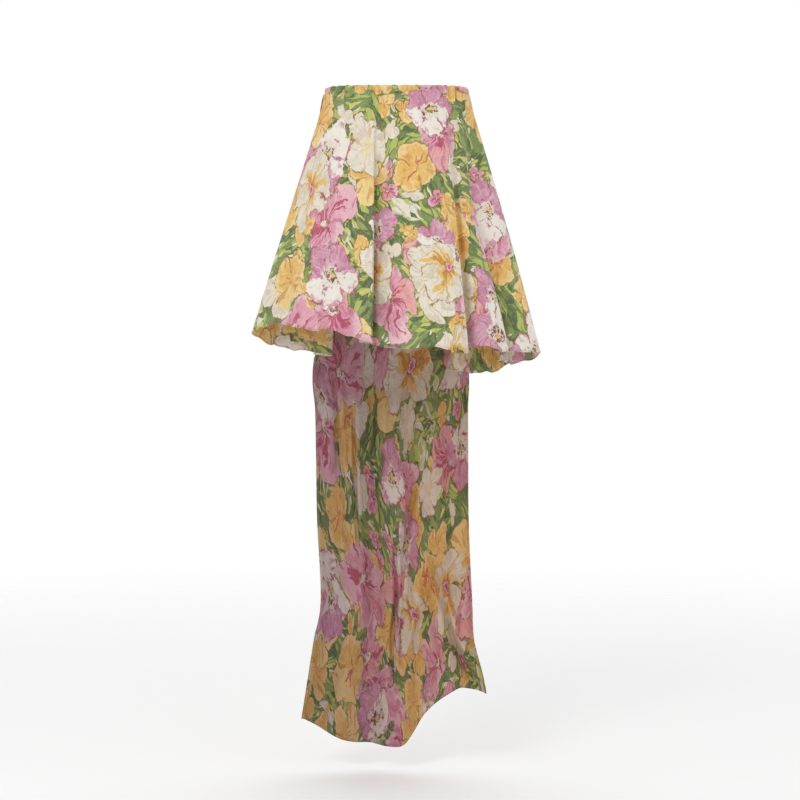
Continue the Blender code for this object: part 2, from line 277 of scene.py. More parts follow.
# On the train below the short hem, from one place to a lower one. share is from the right edge to the
# left, width is in shares, and a depth above 0 comes forward.
TrainCrease = namedtuple("TrainCrease", "top_share top_drop low_share low_drop width depth")
TRAIN_CREASES = (
    TrainCrease(0.640, 0.58, 0.60, 1.02, 0.026, -0.0090),
    TrainCrease(0.730, 0.60, 0.74, 1.25, 0.030, 0.0080),
    TrainCrease(0.320, 0.80, 0.55, 1.25, 0.020, -0.0150),
    TrainCrease(0.250, 0.86, 0.45, 1.36, 0.034, 0.0090),
    TrainCrease(0.180, 0.62, 0.22, 1.12, 0.026, -0.0070),
    TrainCrease(0.460, 0.60, 0.43, 0.98, 0.028, 0.0080),
    TrainCrease(0.870, 0.66, 0.83, 1.10, 0.024, -0.0075),
    TrainCrease(0.780, 1.05, 0.90, 1.46, 0.034, -0.0090),
    TrainCrease(0.100, 0.95, 0.05, 1.34, 0.030, 0.0080),
    TrainCrease(0.620, 1.15, 0.66, 1.50, 0.030, 0.0090),
    TrainCrease(0.810, 0.58, 0.79, 0.86, 0.016, -0.0070),
    TrainCrease(0.930, 0.60, 0.92, 0.98, 0.020, 0.0060),
    TrainCrease(0.530, 0.60, 0.52, 0.84, 0.018, -0.0060),
    TrainCrease(0.050, 0.60, 0.08, 0.92, 0.020, -0.0055),
    TrainCrease(0.360, 1.02, 0.20, 1.40, 0.024, -0.0080),
    TrainCrease(0.480, 1.20, 0.50, 1.56, 0.024, -0.0070),
    TrainCrease(0.466, 0.96, 0.50, 1.42, 0.013, 0.0140),
    TrainCrease(0.496, 0.96, 0.53, 1.42, 0.013, -0.0140),
    TrainCrease(0.300, 1.00, 0.02, 1.40, 0.018, -0.0170),
    TrainCrease(0.245, 1.02, -0.03, 1.40, 0.020, 0.0150),
    TrainCrease(0.765, 0.64, 0.740, 1.10, 0.014, -0.0160),
    TrainCrease(0.880, 0.56, 0.87, 0.90, 0.012, -0.0110),
    TrainCrease(0.200, 0.66, 0.16, 0.98, 0.012, 0.0070),
    TrainCrease(0.620, 0.70, 0.58, 0.96, 0.014, 0.0070),
)


# ---- Curves and fields -------------------------------------------------------------------------------
def spline(rows, closed=False):
    """A smooth curve through the rows, SPLINE_STEPS points a span. Row i is its point i * SPLINE_STEPS."""
    rows = np.asarray(rows, float)
    if closed:
        padded = np.vstack([rows[-1:], rows, rows[:2]])
    else:
        padded = np.vstack([2 * rows[0] - rows[1], rows, 2 * rows[-1] - rows[-2]])
    before, start, end, after = padded[:-3], padded[1:-2], padded[2:-1], padded[3:]
    points = []
    for step in range(SPLINE_STEPS):
        u = step / SPLINE_STEPS
        points.append(
            start * (1 - 3 * u**2 + 2 * u**3)
            + end * (3 * u**2 - 2 * u**3)
            + (end - before) / 2 * (u - 2 * u**2 + u**3)
            + (after - start) / 2 * (u**3 - u**2)
        )
    curve = np.stack(points, axis=1).reshape(-1, rows.shape[1])
    return curve if closed else np.vstack([curve, rows[-1:]])


def distances_along(curve):
    """How far along a curve each of its points is."""
    return np.concatenate([[0.0], np.cumsum(np.linalg.norm(np.diff(curve, axis=0), axis=1))])


def points_along(curve, reached, wanted):
    """Points at wanted distances along a curve whose own points are at the distances reached."""
    return np.stack([np.interp(wanted, reached, axis) for axis in curve.T], axis=1)


def evenly_along(curve, count):
    """count + 1 points at equal distances along a curve."""
    reached = distances_along(curve)
    return points_along(curve, reached, np.linspace(0.0, reached[-1], count + 1))


def smooth_step(share):
    share = np.clip(share, 0.0, 1.0)
    return share * share * (3 - 2 * share)


def hump(share, peak):
    """A smooth hump over 0 to 1, which is 0 at both ends and 1 at its peak."""
    return np.sin(math.pi * share ** (math.log(0.5) / math.log(peak))) ** 2


def crease_profile(along, away, width, fade_out):
    """How much of its depth a crease has: all of it along its middle, and less near its ends and sides."""
    ends = smooth_step(along / CREASE_FADE_IN) * smooth_step((1 - along) / fade_out)
    return ends * np.exp(-((away / width) ** 2))


def near_hem(share):
    """0 down to FLUTTER_START, and from there up to 1 at the hem."""
    return smooth_step((share - FLUTTER_START) / (1 - FLUTTER_START))


def unit(vectors):
    return vectors / np.linalg.norm(vectors, axis=-1, keepdims=True)


def outward(surface):
    """Unit normals of a [row, column] surface whose rows go down and columns anticlockwise."""
    return unit(np.cross(np.gradient(surface, axis=0), np.gradient(surface, axis=1)))


def neckline(bearings, height):
    """Points of the neckline's ellipse, at bearings in radians from the centre front."""
    rise = height + NECK_SIDE_RISE * np.sin(bearings) ** 2
    return np.stack([NECK_HALF_WIDTH * np.sin(bearings), -NECK_HALF_DEPTH * np.cos(bearings), rise], axis=-1)


# ---- The body's cloth, as one ring of columns --------------------------------------------------------
def column_count(panels):
    return sum(panel.gathers for panel in panels) * COLUMNS_PER_GATHER


def hem_and_bearings():
    """Each column's point on the short hem, and the bearing where it leaves the neckline, in radians."""
    names = [row.panel for row in SHORT_HEM]
    turns = np.radians([row.bearing for row in SHORT_HEM])
    tops = NECK_WEIGHT * neckline(turns, 0.0)[:, :2]
    hem = np.array([(row.x, row.y, -row.drop) for row in SHORT_HEM])
    curve = spline(np.hstack([hem, tops]), closed=True)
    curve = np.vstack([curve, curve[:1]])
    spans = []
    for panel in PANELS:
        first = names.index(panel.name) * SPLINE_STEPS
        last = first + names.count(panel.name) * SPLINE_STEPS
        spans.append(evenly_along(curve[first : last + 1], column_count([panel]))[:-1])
    columns = np.concatenate(spans)
    bearings = np.arctan2(columns[:, 3] / NECK_HALF_WIDTH, -columns[:, 4] / NECK_HALF_DEPTH)
    return columns[:, :3], bearings


def fold_bends(bearings, levels):
    """How far FOLD_BENDS move each point of the ring sideways."""
    moved = np.zeros((len(levels), len(bearings)))
    for bend in FOLD_BENDS:
        away = (np.degrees(bearings) - bend.bearing) / bend.spread
        moved += bend.x * smooth_step(1 - np.abs(away)) * hump(levels, bend.level)[:, None]
    return moved


def gather_waves():
    """How far the gathers move each column at the neckline, and the share of the length they reach."""
    columns = np.arange(column_count(PANELS))
    rows = [GATHERS[gather % len(GATHERS)] for gather in columns // COLUMNS_PER_GATHER]
    depth = np.array([row.depth for row in rows])
    reach = np.array([row.reach for row in rows])
    return depth * np.sin(2 * math.pi * columns / COLUMNS_PER_GATHER), reach


def pucker_waves():
    """The small puckers beside the casing: uneven, because two rhythms beat in them."""
    turns = 2 * math.pi * np.arange(column_count(PANELS)) / COLUMNS_PER_GATHER
    swell = 0.6 + 0.4 * np.sin(turns * 3 / 7)
    return PUCKER_DEPTH * swell * np.sin(turns * PUCKERS_PER_GATHER + 1.3 * np.sin(turns * 2 / 9))


def body_creases(bearings, levels):
    """How far BODY_CREASES move each point of the ring outwards."""
    degrees = np.degrees(bearings)[None, :]
    level = levels[:, None]
    moved = np.zeros((len(levels), len(bearings)))
    for crease in BODY_CREASES:
        along = (level - crease.top_level) / (crease.low_level - crease.top_level)
        centre = crease.top_bearing + along * (crease.low_bearing - crease.top_bearing)
        away = (degrees - centre + 180) % 360 - 180
        moved += crease.depth * crease_profile(along, away, crease.width, BODY_CREASE_FADE_OUT)
    return moved


def hem_flutter(columns, share):
    """The waver of the light hem, which fades out a hand's breadth above it."""
    turns = 2 * math.pi * np.arange(columns) / COLUMNS_PER_GATHER
    wave = 0.6 * np.sin(turns * 0.53 + 0.8 * np.sin(turns * 0.17)) + 0.4 * np.sin(turns * 0.97 + 1.9)
    return FLUTTER_DEPTH * wave * near_hem(share)


def body_ring():
    """The middle surface of the cloth all round, from the casing to the short hem."""
    hem, bearings = hem_and_bearings()
    levels = (np.arange(BODY_ROWS + 1) / BODY_ROWS) ** BODY_ROW_CROWDING
    down = levels[:, None, None]
    ring = neckline(bearings, -CASING_HEIGHT - SEAM_GAP) * (1 - down) + hem * down
    swell = RIGHT_SWELL * (1 + np.sin(bearings)) / 2 * np.sin(math.pi * levels)[:, None]
    ring[:, :, 0] += swell * np.sin(bearings) + fold_bends(bearings, levels)
    ring[:, :, 1] -= swell * np.cos(bearings)

    wrapped = np.concatenate([ring[:, -1:], ring, ring[:, :1]], axis=1)
    normals = outward(wrapped)[:, 1:-1]
    wave, reach = gather_waves()
    moved = wave * (1 - smooth_step(levels[:, None] / reach))
    moved += pucker_waves() * (1 - smooth_step(levels[:, None] / PUCKER_REACH))
    waver = body_creases(bearings, levels) + hem_flutter(len(bearings), levels[:, None])
    gathered = ring + normals * (moved + waver)[:, :, None]
    gathered[:, :, 2] += HEM_LIFT * waver * near_hem(levels[:, None])
    gathered[0, :, 2] = ring[0, :, 2]
    return gathered


def cut_panel(ring, panel):
    """The panel's own columns of the ring, and the next panel's first, which is their seam."""
    first = column_count(PANELS[: PANELS.index(panel)])
    return ring[:, np.arange(first, first + column_count([panel]) + 1) % ring.shape[1]]


# ---- The train ---------------------------------------------------------------------------------------
def train_creases(share, drop):
    """How far TRAIN_CREASES bring a row of points forward."""
    moved = np.zeros(len(share))
    for crease in TRAIN_CREASES:
        along = (drop - crease.top_drop) / (crease.low_drop - crease.top_drop)
        centre = crease.top_share + along * (crease.low_share - crease.top_share)
        moved += crease.depth * crease_profile(along, share - centre, crease.width, TRAIN_CREASE_FADE_OUT)
    return moved


def train_surface(upper):
    """The train's whole middle surface: its body part, and the part that hangs below the short hem."""
    sections = spline(TRAIN_SECTIONS)
    hem = spline(TRAIN_HEM)
    start = upper[-1]
    drops = -start[:, 2]

    def edges(drop):
        return (np.interp(drop, sections[:, 0], sections[:, column]) for column in (1, 2, 3))

    left, right, depth = edges(drops)
    share = (right - start[:, 0]) / (right - left)
    fold = start[:, 1] - depth
    hem_drop = np.interp(share, hem[:, 0], hem[:, 1])
    rows = []
    for row in range(1, TRAIN_ROWS + 1):
        along = row / TRAIN_ROWS
        drop = drops + along * (hem_drop - drops)
        left, right, depth = edges(drop)
        deeper = 1 + (TRAIN_FOLD_GROWTH - 1) * smooth_step(along)
        back = depth + fold * deeper - train_creases(share, drop)
        rows.append(np.stack([right - share * (right - left), back, -drop], axis=1))
    return np.concatenate([upper, np.stack(rows)])


# ---- The cut of each panel, laid flat ----------------------------------------------------------------
def steps_across(surface):
    """How far along its row each point is."""
    steps = np.linalg.norm(np.diff(surface, axis=1), axis=2)
    return np.concatenate([np.zeros((len(surface), 1)), np.cumsum(steps, axis=1)], axis=1)


def steps_down(surface):
    """How far down its column each point is."""
    steps = np.linalg.norm(np.diff(surface, axis=0), axis=2)
    return np.concatenate([np.zeros((1, surface.shape[1])), np.cumsum(steps, axis=0)], axis=0)


def flared_cut(surface):
    """Where each point is on a panel cut as a sector of a ring, in metres on the flat cloth."""
    across, down = steps_across(surface), steps_down(surface)
    mean_length = down[-1].mean()
    angle = (across[-1, -1] - across[0, -1]) / mean_length
    apex = across[0, -1] / angle
    turn = (across / across[:, -1:] - 0.5) * angle
    radius = apex + down
    return np.stack([radius * np.sin(turn), apex - radius * np.cos(turn)], axis=2)


def straight_cut(surface):
    """Where each point is on a long panel, in metres on the flat cloth."""
    across, down = steps_across(surface), steps_down(surface)
    return np.stack([across - across[:, -1:] / 2, -down], axis=2)


# ---- Meshes from rows and columns --------------------------------------------------------------------
def grid_faces(rows, columns, ring=False):
    """Faces that look outwards, over [row, column] points numbered row by row."""
    across = columns if ring else columns - 1
    row, column = np.meshgrid(np.arange(rows - 1), np.arange(across), indexing="ij")
    beside = (column + 1) % columns
    corners = (row * columns + column, (row + 1) * columns + column, (row + 1) * columns + beside)
    return np.stack([*corners, row * columns + beside], axis=-1).reshape(-1, 4)


def mesh_piece(name, points, faces, flat, finishes):
    """One piece from points, faces and each point's place on the flat cloth, shaded smooth."""
    mesh = bpy.data.meshes.new(name)
    faces = faces.tolist() if isinstance(faces, np.ndarray) else faces
    mesh.from_pydata(points.reshape(-1, 3).tolist(), [], faces)
    corners = np.empty(len(mesh.loops), dtype=np.int32)
    mesh.loops.foreach_get("vertex_index", corners)
    layer = mesh.uv_layers.new(name="cloth")
    layer.uv.foreach_set("vector", flat.reshape(-1, 2)[corners].astype(np.float32).ravel())
    mesh.shade_smooth()
    for finish in finishes:
        mesh.materials.append(finish)
    piece = bpy.data.objects.new(name, mesh)
    bpy.context.scene.collection.objects.link(piece)
    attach(piece, "root")
    return piece


def apply_modifier(piece, modifier):
    with bpy.context.temp_override(object=piece, active_object=piece, selected_objects=[piece]):
        bpy.ops.object.modifier_apply(modifier=modifier.name)


def give_thickness(piece, thickness):
    """Turns an open sheet into thin cloth whose inner side has the piece's second material."""
    solid = piece.modifiers.new("thickness", "SOLIDIFY")
    solid.thickness = thickness
    solid.offset = 0.0
    solid.material_offset = 1
    solid.material_offset_rim = 0
    apply_modifier(piece, solid)


def parted_at_seams(middle):
    """The panel with both side edges drawn in by half a seam gap."""
    parted = middle.copy()
    for edge, inner in ((0, 1), (-1, -2)):
        parted[:, edge] += unit(middle[:, inner] - middle[:, edge]) * SEAM_GAP / 2
    return parted


def tube(name, path, out, flat, radius, sides, finish):
    """A roll of cloth along a path that lies on a surface whose normals are out."""
    ahead = unit(np.gradient(path, axis=0))
    side = unit(np.cross(ahead, out))
    turns = 2 * math.pi * np.arange(sides) / sides
    rings = np.stack(
        [path + radius * (math.cos(turn) * out + math.sin(turn) * side) for turn in turns], axis=1
    )
    around = np.stack([flat + (0.0, radius * turn) for turn in turns], axis=1)
    faces = grid_faces(len(path), sides, ring=True).tolist()
    faces.append(tuple(range(sides)))
    faces.append(tuple(reversed(range((len(path) - 1) * sides, len(path) * sides))))
    return mesh_piece(name, rings, faces, around, [finish])


# ---- Stitches ----------------------------------------------------------------------------------------
def stitches(name, paths, finish):
    """Rows of small thread stitches along paths, each given as (points, outward normals)."""
    points, faces = [], []
    for path, out in paths:
        reached = distances_along(path)
        starts = np.arange(STITCH_GAP, reached[-1] - STITCH_LENGTH, STITCH_LENGTH + STITCH_GAP)
        normal = unit(points_along(out, reached, starts))
        first = points_along(path, reached, starts)
        last = points_along(path, reached, starts + STITCH_LENGTH)
        side = unit(np.cross(unit(last - first), normal))
        for start, end, up, beside in zip(first, last, normal, side):
            base = len(points)
            points.append(start)
            for share in STITCH_SHOULDERS:
                centre = start + (end - start) * share
                for turn in range(STITCH_SIDES):
                    angle = 2 * math.pi * turn / STITCH_SIDES
                    points.append(centre + STITCH_RADIUS * (math.cos(angle) * up + math.sin(angle) * beside))
            tip = len(points)
            points.append(end)
            for turn in range(STITCH_SIDES):
                near = base + 1 + turn
                near_next = base + 1 + (turn + 1) % STITCH_SIDES
                far, far_next = near + STITCH_SIDES, near_next + STITCH_SIDES
                faces.append((base, near_next, near))
                faces.append((near, near_next, far_next, far))
                faces.append((tip, far, far_next))
    points = np.array(points)
    return mesh_piece(name, points, faces, points[:, [0, 2]], [finish])


# ---- Colours, as sRGB from 0 to 255 ------------------------------------------------------------------
def swatch(red, green, blue):
    linear = [((part / 255 + 0.055) / 1.055) ** 2.4 for part in (red, green, blue)]
    return (*linear, 1.0)


WHITE, CREAM, CREAM_SHADE = swatch(230, 224, 212), swatch(222, 214, 196), swatch(204, 190, 168)
CREAM_LINE, CREAM_EDGE = swatch(206, 176, 124), swatch(176, 136, 80)
BLUSH_LINE, BLUSH_EDGE = swatch(214, 180, 140), swatch(168, 120, 90)
GOLD_TIP, GOLD_PALE, GOLD = swatch(234, 214, 160), swatch(230, 204, 140), swatch(224, 182, 100)
GOLD_SHADE, GOLD_DEEP, GOLD_EDGE = swatch(214, 164, 82), swatch(196, 138, 64), swatch(166, 112, 58)
PINK_TIP, PINK_PALE, PINK = swatch(230, 204, 202), swatch(226, 180, 187), swatch(214, 154, 169)
PINK_SHADE, PINK_LINE, PINK_STROKE = swatch(199, 127, 148), swatch(200, 122, 148), swatch(196, 112, 138)
PINK_DEEP, PINK_EDGE, SALMON = swatch(180, 80, 106), swatch(158, 80, 98), swatch(221, 158, 146)
MAUVE_PALE, MAUVE, MAUVE_DEEP = swatch(220, 190, 202), swatch(206, 152, 172), swatch(190, 124, 148)
MAUVE_FRILL, MAUVE_LINE, MAUVE_EDGE = swatch(196, 118, 146), swatch(180, 112, 138), swatch(160, 82, 100)
PLUM, RUST, OLIVE = swatch(132, 66, 80), swatch(192, 100, 72), swatch(120, 116, 58)
LEAF, LEAF_DARK, FERN = swatch(116, 136, 80), swatch(86, 104, 64), swatch(100, 122, 72)
MOSS, LIME, LEMON = swatch(142, 154, 86), swatch(174, 184, 94), swatch(204, 194, 112)
OUTLINE, UMBER, SOIL = swatch(128, 102, 64), swatch(96, 74, 50), swatch(120, 108, 92)
THREAD, THREAD_SHADE = swatch(226, 214, 190), swatch(214, 202, 178)


# ---- Values in a node tree ---------------------------------------------------------------------------
class Wire:
    """A value in a node tree. Arithmetic on it adds the nodes that work the result out."""

    def __init__(self, tree, socket):
        self.tree = tree
        self.socket = socket

    def __add__(self, other):
        return calc("ADD", self, other)

    def __sub__(self, other):
        return calc("SUBTRACT", self, other)

    def __rsub__(self, other):
        return calc("SUBTRACT", other, self)

    def __mul__(self, other):
        return calc("MULTIPLY", self, other)

    def __truediv__(self, other):
        return calc("DIVIDE", self, other)


def plug(socket, value):
    if isinstance(value, Wire):
        value.tree.links.new(value.socket, socket)
    else:
        socket.default_value = value


def first_wire(values):
    return next(value for value in values if isinstance(value, Wire))


def node(kind, inputs, take=0, tree=None, **settings):
    """Adds a node, with inputs by name or in order. take names the output to return, or a tuple of them."""
    inputs = inputs if isinstance(inputs, dict) else dict(enumerate(inputs))
    if tree is None:
        tree = first_wire(inputs.values()).tree
    made = tree.nodes.new("ShaderNode" + kind)
    for name, setting in settings.items():
        setattr(made, name, setting)
    for key, value in inputs.items():
        plug(made.inputs[key], value)
    if isinstance(take, tuple):
        return [Wire(tree, made.outputs[key]) for key in take]
    return Wire(tree, made.outputs[take])


def calc(operation, *values):
    """Maths on numbers, or on vectors and colours where the first wire is one."""
    is_number = first_wire(values).socket.type == "VALUE"
    return node("Math" if is_number else "VectorMath", values, operation=operation)


def length(vector):
    return node("VectorMath", (vector,), "Value", operation="LENGTH")


def combine(x, y, z):
    return node("CombineXYZ", (x, y, z))


def apart(vector):
    return node("SeparateXYZ", (vector,), (0, 1, 2))


def split(colour):
    return node("SeparateColor", (colour,), (0, 1, 2))


def turned(vector, angle):
    return node("VectorRotate", {"Vector": vector, "Angle": angle}, rotation_type="Z_AXIS")


def mixed(share, under, over, **settings):
    return node("Mix", {0: share, 6: under, 7: over}, 2, data_type="RGBA", **settings)


def coats(paint, *rows):
    """The paint with coats over it, the lowest first, each given as a share and its colour."""
    for share, colour in rows:
        paint = mixed(share, paint, colour)
    return paint


def span(value, start, end):
    """0 at start and 1 at end, smooth between. start may be the larger one."""
    inputs = {"Value": value, "From Min": start, "From Max": end}
    return node("MapRange", inputs, interpolation_type="SMOOTHSTEP")


def between(value, low, high):
    """low where value is 0 and high where it is 1."""
    return value * (high - low) + low


def noise(place, scale, detail=2.0, roughness=0.5, take="Fac"):
    inputs = {"Vector": place, "Scale": scale, "Detail": detail, "Roughness": roughness}
    return node("TexNoise", inputs, take)


def wander(place, scale, detail, reach):
    """A vector that moves each place of the cloth by up to about half of reach."""
    return (noise(place, scale, detail, take="Color") - (0.5, 0.5, 0.5)) * (reach, reach, reach)


def cells(place, take, scale=1.0, randomness=1.0, feature="F1"):
    inputs = {"Vector": place, "Scale": scale, "Randomness": randomness}
    return node("TexVoronoi", inputs, take, voronoi_dimensions="2D", feature=feature)


def waves(place, scale, distortion, detail, direction):
    inputs = {"Vector": place, "Scale": scale, "Distortion": distortion, "Detail": detail}
    return node("TexWave", inputs, "Fac", bands_direction=direction)


def bump(height, strength, distance, under=None):
    """A bump that is distance metres high where height is 1, over another bump if one is under it."""
    inputs = {"Height": height, "Strength": strength, "Distance": distance}
    return node("Bump", inputs | ({"Normal": under} if under else {}))


def stepped(value, stops):
    """A colour for each stretch of value, from (start, colour) pairs."""
    made = value.tree.nodes.new("ShaderNodeValToRGB")
    plug(made.inputs[0], value)
    ramp = made.color_ramp
    ramp.interpolation = "CONSTANT"
    while len(ramp.elements) < len(stops):
        ramp.elements.new(1.0)
    for element, (start, colour) in zip(ramp.elements, stops):
        element.position = start
        element.color = colour
    return Wire(value.tree, made.outputs["Color"])


NUMBER, VECTOR, COLOUR = "NodeSocketFloat", "NodeSocketVector", "NodeSocketColor"


def node_group(name, inputs, outputs):
    """A new node group, its inputs as wires by name, and its outputs' sockets."""
    tree = bpy.data.node_groups.new(name, "ShaderNodeTree")
    for in_out, sockets in (("INPUT", inputs), ("OUTPUT", outputs)):
        for label, kind in sockets.items():
            tree.interface.new_socket(label, in_out=in_out, socket_type=kind)
    starts = tree.nodes.new("NodeGroupInput").outputs
    ends = tree.nodes.new("NodeGroupOutput").inputs
    return tree, SimpleNamespace(**{label: Wire(tree, starts[label]) for label in inputs}), ends


def use(group, inputs, take):
    return node("Group", inputs, take, node_tree=group)


# ---- The printed flowers -----------------------------------------------------------------------------
# Where in its flower a place is, for its paint. reach is 0 at the centre and 1 at the outline. petal is 0
# in the middle of a petal and 1 between two. half is -1 at one side of the flower and 1 at the other. tone
# is each petal's own. edge is 1 along the outline. streak and brush run out from the centre, and speckle
# and wash are uneven patches.
Spot = namedtuple("Spot", "reach petal half streak brush tone edge speckle wash")

# A layer of flowers is a scatter of cells, a share of which holds a flower. cell is in metres, size is in
# cells, and petals is the fewest that a flower has. notch is how far the outline dips between petals, and
# squash is how much narrower a flower may be than it is long. kinds are the paints, each from its start.
Layer = namedtuple("Layer", "cell shift share size petals notch squash kinds")

# What flower_scatter gives for each place: whether it is in a flower, whether it is just outside one, and a
# number from 0 to 1 that picks the flower's kind, and then its spot.
SCATTERED = ("mask", "rim", "kind") + Spot._fields

SCATTERING = 0.8  # at 0, every flower would be in the middle of its cell
OUTLINE_BENDS = ((16.0, 1.0, 0.36), (75.0, 2.0, 0.10))  # scale, detail, and reach in cells
EXTRA_PETALS = 2.99  # the whole part of a number from 0 to this is added to the petals
FLOWER_SIZES, PETAL_SIZES = (0.82, 1.17), (0.80, 1.20)
NOTCH_SHARPNESS = 2.4
MASK_SPAN, RIM_SPAN = (0.0, 0.0012), (-0.0030, -0.0014)  # metres from the outline, above 0 inside it
EDGE_SPAN = (0.0036, 0.0016)
RAYS_ROUND, RAYS_OUT = 3.2, 2.0  # how fast the streaks change round the flower, and out from its centre
BRUSH_FINENESS = (4.2, 4.2, 1.0)  # how much finer the brush's marks are than the streaks
TONE_SEED, RAY_SEED = 91.0, 37.0  # they give each flower its own tones and streaks
STREAK_NOISE, BRUSH_NOISE = (1.0, 2.0, 0.55), (1.0, 2.0, 0.6)  # scale, detail and roughness
SPECKLE_NOISE, WASH_NOISE = (60.0, 4.0, 0.65), (26.0, 5.0, 0.62)


def flower_scatter():
    """Flowers scattered over the cloth, at most one a cell, and where in its flower each place is."""
    inputs = dict.fromkeys(Layer._fields[:-1], NUMBER) | {"place": VECTOR, "shift": VECTOR}
    tree, at, ends = node_group("flower_scatter", inputs, dict.fromkeys(SCATTERED, NUMBER))
    in_cells = at.place / combine(at.cell, at.cell, 1.0) + at.shift
    for scale, detail, reach in OUTLINE_BENDS:
        in_cells = in_cells + wander(at.place, scale, detail, reach)
    middle, dice = cells(in_cells, ("Position", "Color"), randomness=SCATTERING)
    chance, spin, build = split(dice)
    level = turned(in_cells - middle, spin * (2 * math.pi))
    x, y, _ = apart(level / combine(1.0, 1.0 - build * at.squash, 1.0))
    from_middle = combine(x, y, 0.0)
    radius = length(from_middle)
    petals = at.petals + calc("FLOOR", build * EXTRA_PETALS)
    turns = calc("ARCTAN2", y, x) / (2 * math.pi) * petals
    petal = calc("PINGPONG", turns, 0.5) * 2.0
    number = calc("WRAP", calc("FLOOR", turns + 0.5), petals, 0.0)
    seed = combine(number, chance * TONE_SEED, 0.0)
    tone = node("TexWhiteNoise", {"Vector": seed}, "Value", noise_dimensions="2D")
    size = at.size * between(spin, *FLOWER_SIZES) * between(tone, *PETAL_SIZES)
    limit = size * (1.0 - calc("POWER", petal, NOTCH_SHARPNESS) * at.notch)
    margin = (limit - radius) * at.cell
    chosen = calc("LESS_THAN", chance, at.share)
    ahead, aside, _ = apart(calc("NORMALIZE", from_middle))
    rays = combine(ahead * RAYS_ROUND, aside * RAYS_ROUND, radius * RAYS_OUT + chance * RAY_SEED)
    results = {
        "mask": span(margin, *MASK_SPAN) * chosen,
        "rim": span(margin, *RIM_SPAN) * chosen,
        "kind": chance / at.share,
        "reach": radius / limit,
        "petal": petal,
        "half": x / limit,
        "streak": noise(rays, *STREAK_NOISE),
        "brush": noise(rays * BRUSH_FINENESS, *BRUSH_NOISE),
        "tone": tone,
        "edge": span(margin, *EDGE_SPAN),
        "speckle": noise(at.place, *SPECKLE_NOISE),
        "wash": noise(at.place, *WASH_NOISE),
    }
    for label, value in results.items():
        plug(ends[label], value)
    return tree


def rays_from_centre(at, spread, reach, softness):
    """A share that is 1 near the flower's centre and ends in uneven painted rays."""
    return span(at.reach - (at.streak * -spread + reach), softness, -softness)


def petal_line(at, start):
    """The painted line between two petals, which starts some way out from the centre."""
    return span(at.petal, start, 0.96) * span(at.reach, 0.22, 0.38)


def brush_strokes(at, low, high, inner, outer):
    return span(at.streak, low, high) * span(at.reach, inner, outer)


def broken(share, at, low, high):
    """A share broken up by the brush."""
    return share * span(at.speckle, low, high)


def dry_tips(at):
    """The brush ran dry towards the tips of some petals, and left them pale."""
    return span(at.wash * 1.2 + at.reach, 1.32, 1.54) * 0.65


def washed(at, colour, shade, pale):
    """Uneven paint: a colour that a wet brush left darker in places and lighter in others."""
    return coats(
        colour,
        (span(at.wash, 0.50, 0.60) * 0.75, shade),
        (span(at.wash, 0.46, 0.36) * 0.60, pale),
        (span(at.brush, 0.53, 0.60) * 0.80, shade),
        (span(at.brush, 0.44, 0.36) * 0.60, pale),
    )


def anemone_paint(at):
    """Cream petals, gold rays and a pink centre."""
    return coats(
        washed(at, CREAM, CREAM_SHADE, WHITE),
        (petal_line(at, 0.86), CREAM_LINE),
        (rays_from_centre(at, 1.5, 1.25, 0.05), GOLD),
        (rays_from_centre(at, 1.1, 0.90, 0.04), GOLD_DEEP),
        (span(at.reach, 0.25, 0.22), PLUM),
        (span(at.reach, 0.22, 0.19), PINK_PALE),
        (span(at.reach, 0.15, 0.10), PINK_DEEP),
        (broken(at.edge, at, 0.44, 0.52), CREAM_EDGE),
    )


def lily_paint(at):
    """Pink petals with a few deep pink brush strokes, and a small cream and olive centre."""
    return coats(
        washed(at, PINK, PINK_SHADE, PINK_PALE),
        (dry_tips(at), PINK_TIP),
        (span(at.tone, 0.80, 0.84) * 0.7, PINK_PALE),
        (span(at.tone, 0.36, 0.32) * 0.6, SALMON),
        (broken(petal_line(at, 0.88), at, 0.42, 0.50), PINK_LINE),
        (brush_strokes(at, 0.56, 0.62, 0.30, 0.55) * 0.8, PINK_STROKE),
        (rays_from_centre(at, 3.0, 1.82, 0.07), PINK_DEEP),
        (span(at.reach, 0.16, 0.12), CREAM),
        (broken(span(at.reach, 0.15, 0.11), at, 0.50, 0.54), OLIVE),
        (broken(at.edge, at, 0.43, 0.50), PINK_EDGE),
    )


def pansy_paint(at):
    """White and mauve ruffled petals with deep pink frills, and a dark centre round a gold eye."""
    flecks = span(at.reach, 0.52, 0.44) * span(at.reach, 0.34, 0.40)
    return coats(
        washed(at, MAUVE, MAUVE_DEEP, MAUVE_PALE),
        (span(at.wash * 0.8 + at.half, 0.34, 0.40), WHITE),
        (broken(span(at.reach, 0.70, 0.90), at, 0.48, 0.56) * 0.8, MAUVE_FRILL),
        (broken(petal_line(at, 0.86), at, 0.44, 0.50), MAUVE_LINE),
        (rays_from_centre(at, 0.7, 0.72, 0.04), CREAM),
        (broken(flecks, at, 0.54, 0.57), PINK_DEEP),
        (broken(span(at.reach, 0.30, 0.25), at, 0.50, 0.53), PLUM),
        (broken(span(at.reach, 0.26, 0.21), at, 0.46, 0.42), OLIVE),
        (span(at.reach, 0.11, 0.08), GOLD),
        (broken(at.edge, at, 0.42, 0.50), MAUVE_EDGE),
    )


def buttercup_paint(at):
    """Gold petals, most of them plain."""
    return coats(
        washed(at, GOLD, GOLD_SHADE, GOLD_PALE),
        (dry_tips(at), GOLD_TIP),
        (span(at.tone, 0.76, 0.80) * 0.8, GOLD_PALE),
        (petal_line(at, 0.88), GOLD_DEEP),
        (brush_strokes(at, 0.57, 0.63, 0.25, 0.50) * 0.7, GOLD_DEEP),
        (rays_from_centre(at, 2.6, 1.30, 0.06), RUST),
        (broken(at.edge, at, 0.43, 0.50), GOLD_EDGE),
    )


